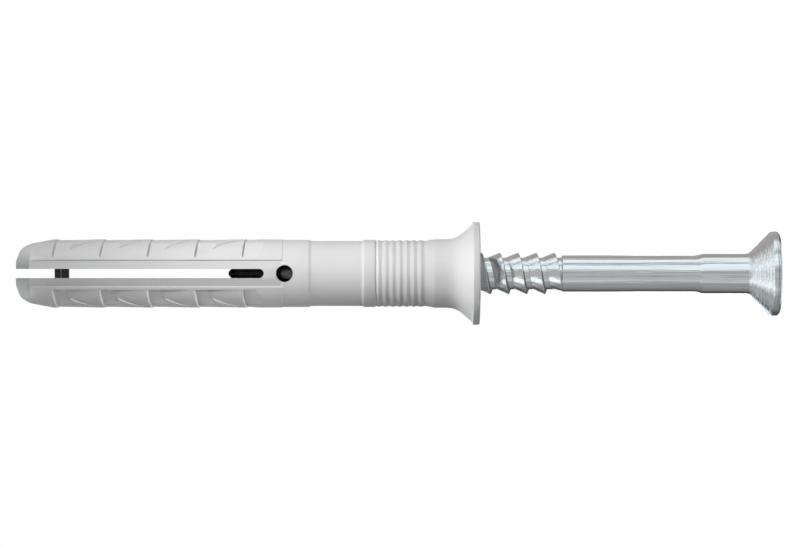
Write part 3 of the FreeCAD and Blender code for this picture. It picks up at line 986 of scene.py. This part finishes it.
def nylon():
    """Principled nylon: fine grain in colour, roughness and bump, a darker band, painted shade on the tip
    and bridge, and a painted highlight on the crown.
    """
    material, tree, shader, place, parts = new_finish("moulded_nylon")
    shader["IOR"].default_value = NYLON_IOR
    fine = add_grain(tree, place, *FINE_GRAIN)
    broad = add_grain(tree, place, *BROAD_GRAIN)
    across = add_math(tree, "ABSOLUTE", parts["X"])
    depth = add_math(tree, "ABSOLUTE", parts["Y"])
    bridge_z = face_z + BRIDGE_LOW
    crown_z = bridge_z + BRIDGE_LENGTH / 2
    band = add_product(
        tree,
        add_span(tree, across, NO_LOW, BAND_HALF),
        add_span(tree, parts["Z"], face_z + ZONE_START, face_z + BAND_END),
    )
    # Painted shade on the tip beside the slit.
    tip_shade = add_product(
        tree,
        add_span(tree, across, NO_LOW, TIP_SHADE_HALF, TIP_SHADE_SOFT),
        add_span(tree, parts["Z"], face_z + BAND_END, tip_z + PAST_TIP),
    )
    # Painted shade: the bridge in its slit is nearly black.
    bridge_shade = add_product(
        tree,
        add_span(tree, across, NO_LOW, SLIT_HALF - BRIDGE_SIDE_GAP, BRIDGE_SIDE_GAP),
        add_span(tree, depth, NO_LOW, BRIDGE_HALF + BRIDGE_CROWN),
        add_span(tree, parts["Z"], bridge_z - BRIDGE_ROOM, bridge_z + BRIDGE_LENGTH + BRIDGE_ROOM),
    )
    # Painted highlight: a lighter line along the bridge's crown.
    crown_highlight = add_span(tree, parts["Z"], crown_z - CROWN_HIGHLIGHT_HALF, crown_z + CROWN_HIGHLIGHT_HALF, CROWN_HIGHLIGHT_SOFT)
    colour = add_mix(tree, broad["Mask"], *[grey(level) for level in NYLON_GREYS])
    colour = add_mix(tree, band, colour, grey(BAND_GREY))
    colour = add_mix(tree, tip_shade, colour, grey(TIP_SHADE_GREY))
    colour = add_mix(tree, bridge_shade, colour, grey(BRIDGE_SHADE_GREY))
    colour = add_mix(tree, add_product(tree, bridge_shade, crown_highlight), colour, grey(CROWN_HIGHLIGHT_GREY))
    feed(tree, shader["Base Color"], colour)
    feed(tree, shader["Roughness"], add_range(tree, fine["Mask"], 0.0, 1.0, *NYLON_ROUGHNESS))
    feed(tree, shader["Normal"], add_bump(tree, fine["Height"], FINE_HEIGHT, FINE_STRENGTH))
    return material


# %% [markdown]
# The nail screw is bright zinc on drawn steel. Drawing leaves fine lines along the
# shank. Turning leaves rings on the head, which is all that lies below the neck:
# there the noise runs along radius - z, a length that grows over the face, the rim
# and the cone alike, and hardly changes with the angle. Painted shade makes the
# nail's length deep in the sleeve almost black through the window and the slit.

# %% Zinc
ZINC_GREYS = (0.7, 0.88)
ZINC_ROUGHNESS = (0.04, 0.12)
LINE_GRAIN = (3000.0, 0.03, 2.0)
LINE_HEIGHT = 0.00004
RING_GRAIN = (5000.0, 1.0, 2.0)
RING_HEIGHT = 0.00007
RING_TURN = 1.2
HEAD_RINGS_END = 3.7
CRYSTAL_GRAIN = (4200.0, 1.0, 2.0)
CRYSTAL_HEIGHT = 0.000008
CRYSTAL_STRENGTH = 0.5
# Painted shade on the nail deep in the sleeve.
INSIDE_SHADE_START = face_z + 19.0
INSIDE_SHADE_RUN = 3.0
INSIDE_SHADE_GREY = 0.12
# Painted shade at the nail's point: its grey, start and run.
POINT_SHADE_GREY = 0.02
POINT_SHADE_START = THREAD_HIGH + 0.2
POINT_SHADE_RUN = 0.1


def zinc():
    """Principled metal: drawn lines on the shank, rings on the head, and fine crystals.

    Painted shade makes the length seen through the sleeve's openings darker, and the point nearly black.
    """
    material, tree, shader, place, parts = new_finish("bright_zinc")
    shader["Metallic"].default_value = 1.0
    lines = add_grain(tree, place, *LINE_GRAIN)
    crystals = add_grain(tree, place, *CRYSTAL_GRAIN)
    squares = [add_math(tree, "MULTIPLY", parts[name], parts[name]) for name in ("X", "Y")]
    radius = add_math(tree, "SQRT", add_math(tree, "ADD", *squares))
    angle = add_math(tree, "ARCTAN2", parts["Y"], parts["X"])
    ring_place = tree.nodes.new("ShaderNodeCombineXYZ")
    feed(tree, ring_place.inputs["X"], add_math(tree, "SUBTRACT", radius, parts["Z"]))
    feed(tree, ring_place.inputs["Y"], add_range(tree, angle, 0.0, 1.0, 0.0, RING_TURN * MM))
    rings = add_grain(tree, ring_place.outputs["Vector"], *RING_GRAIN)
    head = add_span(tree, parts["Z"], NO_LOW, HEAD_RINGS_END)
    rest = add_range(tree, head, 0.0, 1.0, 1.0, 0.0)
    # Painted shade: the nail is darker deep in the sleeve.
    inside_shade = add_range(tree, parts["Z"], INSIDE_SHADE_START * MM, (INSIDE_SHADE_START + INSIDE_SHADE_RUN) * MM)
    # Painted shade: the point is nearly black.
    point_shade = add_range(tree, parts["Z"], POINT_SHADE_START * MM, (POINT_SHADE_START + POINT_SHADE_RUN) * MM)
    colour = add_mix(tree, lines["Mask"], *[grey(level) for level in ZINC_GREYS])
    colour = add_mix(tree, inside_shade, colour, grey(INSIDE_SHADE_GREY))
    colour = add_mix(tree, point_shade, colour, grey(POINT_SHADE_GREY))
    feed(tree, shader["Base Color"], colour)
    feed(tree, shader["Roughness"], add_range(tree, crystals["Mask"], 0.0, 1.0, *ZINC_ROUGHNESS))
    bump = add_bump(tree, add_math(tree, "MULTIPLY", lines["Height"], rest), LINE_HEIGHT)
    bump = add_bump(tree, add_math(tree, "MULTIPLY", rings["Height"], head), RING_HEIGHT, before=bump)
    bump = add_bump(tree, crystals["Height"], CRYSTAL_HEIGHT, CRYSTAL_STRENGTH, bump)
    feed(tree, shader["Normal"], bump)
    return material


nylon_finish = nylon()
zinc_finish = zinc()
for piece, node, slot, finish in (
    (nail_piece, "nail_screw", "zinc_steel", zinc_finish),
    (sleeve_piece, "expansion_sleeve", "nylon", nylon_finish),
):
    piece.data.materials.append(finish)
    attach(piece, "root")
    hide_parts(node)

# %% [markdown]
# The studio is a white table and a white surround. The camera sees the surround as
# plain white. The metal reflects cool soft boxes with duller gaps between them, set
# by the angle round the Z axis from the camera's side: each stop is an angle, a
# level and how blue it is. Two more boxes lie towards the tip, a low one for the
# thread and one at the back. Straight past the tip is a box for the head's cone.
# Towards the head the surround turns dark and then light again. The nylon is lit by
# a fill, which is strongest from the back, and by lamps.

# %% Surround
SURROUND_STRENGTH = 1.25
SURROUND = [
    (-180, 0.08, 0.3), (-132, 0.08, 0.3), (-118, 0.2, 0.3), (-88, 0.27, 0.3), (-57, 0.33, 0.2),
    (-52, 0.56, 0.4), (-43, 0.52, 0.4), (-36, 0.42, 0.2), (-28, 0.47, 0.2), (-20, 0.37, 0.2),
    (-15, 0.34, 0.1), (-10, 0.5, 0.2), (-3, 0.42, 0.1), (9, 0.33, 0.0), (16, 0.4, 0.1), (24, 0.85, 0.8),
    (29, 0.98, 1.0), (40, 0.9, 1.0), (49, 0.97, 1.0), (56, 0.74, 0.5), (62, 0.36, 0.1), (67, 0.4, 0.2),
    (74, 0.9, 0.9), (88, 1.0, 1.0), (96, 0.8, 0.8), (106, 0.42, 0.0), (116, 0.27, -0.4), (132, 0.34, -0.3),
    (180, 0.34, 0.0),
]
LOW_BOX = [(-180, 0.2), (-100, 0.2), (-80, 0.0), (-74, 0.7), (-46, 0.7), (-40, 0.0), (180, 0.0)]
LOW_BOX_Z = (0.38, 0.5)
BACK_BOX = [(-180, 1.0), (-160, 1.0), (-154, 0.0), (180, 0.0)]
BACK_BOX_Z = (0.02, 0.1)
CONE_BOX = (0.92, 1.0, 1.05, 1.0)
CONE_BOX_Z = (0.88, 0.94)
DARK_END = (0.1, 0.11, 0.12, 1.0)
DARK_END_Z = (-0.25, -0.45)
LIGHT_END = (0.75, 0.8, 0.85, 1.0)
LIGHT_END_Z = (-0.63, -0.75)
RED_FALL = 0.17
GREEN_FALL = 0.06
FILL = 0.1
FILL_LEAN = (-0.3, 0.9, 0.0)

world = bpy.data.worlds.new("surround")
world.use_nodes = True
sky = world.node_tree
sky.nodes.clear()


def tinted(level, coolness):
    """A grey level tinted blue, or brown below 0: red and green fall by their share of the level."""
    return (level * (1 - RED_FALL * coolness), level * (1 - GREEN_FALL * coolness), level, 1.0)


def add_ramp(tree, share, stops):
    """Add a colour ramp over the full turn; each stop is degrees and a colour."""
    node = tree.nodes.new("ShaderNodeValToRGB")
    ramp = node.color_ramp
    while len(ramp.elements) < len(stops):
        ramp.elements.new(0.5)
    for element, (degrees, colour) in zip(ramp.elements, stops):
        element.position = (degrees + 180) / 360
        element.color = colour
    feed(tree, node.inputs["Fac"], share)
    return node.outputs["Color"]


def add_background(tree, colour, strength):
    """Add a background; its colour and its strength are plain or linked."""
    node = tree.nodes.new("ShaderNodeBackground")
    feed(tree, node.inputs["Color"], colour)
    feed(tree, node.inputs["Strength"], strength)
    return node.outputs["Background"]


def add_choice(tree, rays, other, chosen):
    """Show the chosen shader to one kind of ray and the other shader to the rest."""
    node = tree.nodes.new("ShaderNodeMixShader")
    kinds = tree.nodes.new("ShaderNodeLightPath").outputs
    for socket, value in zip(node.inputs, (kinds[rays], other, chosen)):
        feed(tree, socket, value)
    return node.outputs["Shader"]


direction = sky.nodes.new("ShaderNodeTexCoord").outputs["Generated"]
parts = add_parts(sky, direction)
angle = add_math(sky, "ARCTAN2", parts["X"], add_math(sky, "MULTIPLY", parts["Y"], -1.0))
share = add_range(sky, angle, -math.pi, math.pi)
boxes = add_ramp(sky, share, [(degrees, tinted(level, cool)) for degrees, level, cool in SURROUND])
for stops, heights in ((LOW_BOX, LOW_BOX_Z), (BACK_BOX, BACK_BOX_Z)):
    box = add_ramp(sky, share, [(degrees, tinted(level, 1.0)) for degrees, level in stops])
    boxes = add_mix(sky, add_range(sky, parts["Z"], *heights), boxes, box, "ADD")
for colour, heights in ((CONE_BOX, CONE_BOX_Z), (DARK_END, DARK_END_Z), (LIGHT_END, LIGHT_END_Z)):
    boxes = add_mix(sky, add_range(sky, parts["Z"], *heights), boxes, colour)
lean = sky.nodes.new("ShaderNodeVectorMath")
lean.operation = "DOT_PRODUCT"
feed(sky, lean.inputs[0], direction)
feed(sky, lean.inputs[1], FILL_LEAN)
fill_strength = add_math(sky, "MULTIPLY_ADD", lean.outputs["Value"], FILL, FILL)
reflected = add_background(sky, boxes, SURROUND_STRENGTH)
fill = add_background(sky, grey(1.0), fill_strength)
seen = add_background(sky, grey(1.0), 1.0)
lit = add_choice(sky, "Is Glossy Ray", fill, reflected)
output = sky.nodes.new("ShaderNodeOutputWorld")
feed(sky, output.inputs["Surface"], add_choice(sky, "Is Camera Ray", lit, seen))
bpy.context.scene.world = world

# %% [markdown]
# Eight square soft boxes light the nylon, and none of them shows in the metal. The
# key and a weaker one beside it stand past the tip, in front and on the +X side,
# and the wash stands in front of the middle. Two shine almost along the plug on the
# -X side, one from past the tip and one from beside the head. Two narrow ones light
# the nose, and one stands behind.


# %% Lamps
def lamp(name, degrees, distance, height, aim, size, power, spread=180):
    """A square soft box at an angle round Z from the camera's side, turned to the axis at a height.

    Lengths are in millimetres, power in watts and the spread of the light in degrees.
    """
    data = bpy.data.lights.new(name, "AREA")
    data.energy = power
    data.size = size * MM
    data.spread = math.radians(spread)
    around = math.radians(degrees)
    place = Vector((math.sin(around) * distance, -math.cos(around) * distance, height))
    towards = place - Vector((0, 0, aim))
    turn = towards.to_track_quat("Z", "Y").to_matrix().to_4x4()
    item = bpy.data.objects.new(name, data)
    item.matrix_world = Matrix.Translation(place * MM) @ turn
    item.visible_glossy = False
    item.visible_camera = False
    bpy.context.scene.collection.objects.link(item)


lamp("key", 30, 75, 110, 41, 40, 0.0112, 60)
lamp("key_side", 60, 75, 110, 41, 40, 0.0016, 60)
lamp("wash", 28, 110, 35, 41, 50, 0.011)
lamp("low_side", -95, 60, 343, 55, 60, 0.25)
lamp("low_head", -92, 35, 5, 88, 12, 0.0006, 24)
lamp("nose_low", -75, 70, 108, 88, 10, 0.00002, 14)
lamp("nose_high", 80, 70, 108, 88, 10, 0.00006, 14)
lamp("back", 180, 240, 120, 45, 150, 0.2)

# %% [markdown]
# The plug stands on a matt table. The camera sees the table glow white as well, so
# that it doesn't show against the surround.

# %% Table
TABLE_HALF = 0.3
TABLE_DROP = 0.00002
TABLE_GREY = 0.85

floor_mesh = bpy.data.meshes.new("table")
floor_mesh.from_pydata([
    (-TABLE_HALF, -TABLE_HALF, -TABLE_DROP),
    (TABLE_HALF, -TABLE_HALF, -TABLE_DROP),
    (TABLE_HALF, TABLE_HALF, -TABLE_DROP),
    (-TABLE_HALF, TABLE_HALF, -TABLE_DROP),
], [], [(0, 1, 2, 3)])
floor = bpy.data.objects.new("table", floor_mesh)
floor.visible_glossy = False
bpy.context.scene.collection.objects.link(floor)
table_finish = bpy.data.materials.new("white_table")
table_finish.use_nodes = True
tree = table_finish.node_tree
tree.nodes.clear()
matt = tree.nodes.new("ShaderNodeBsdfDiffuse")
matt.inputs["Color"].default_value = grey(TABLE_GREY)
glow = tree.nodes.new("ShaderNodeEmission")
glow.inputs["Color"].default_value = grey(1.0)
glow.inputs["Strength"].default_value = 1.0
both = tree.nodes.new("ShaderNodeAddShader")
feed(tree, both.inputs[0], matt.outputs["BSDF"])
feed(tree, both.inputs[1], glow.outputs["Emission"])
output = tree.nodes.new("ShaderNodeOutputMaterial")
surface = add_choice(tree, "Is Camera Ray", matt.outputs["BSDF"], both.outputs["Shader"])
feed(tree, output.inputs["Surface"], surface)
floor_mesh.materials.append(table_finish)
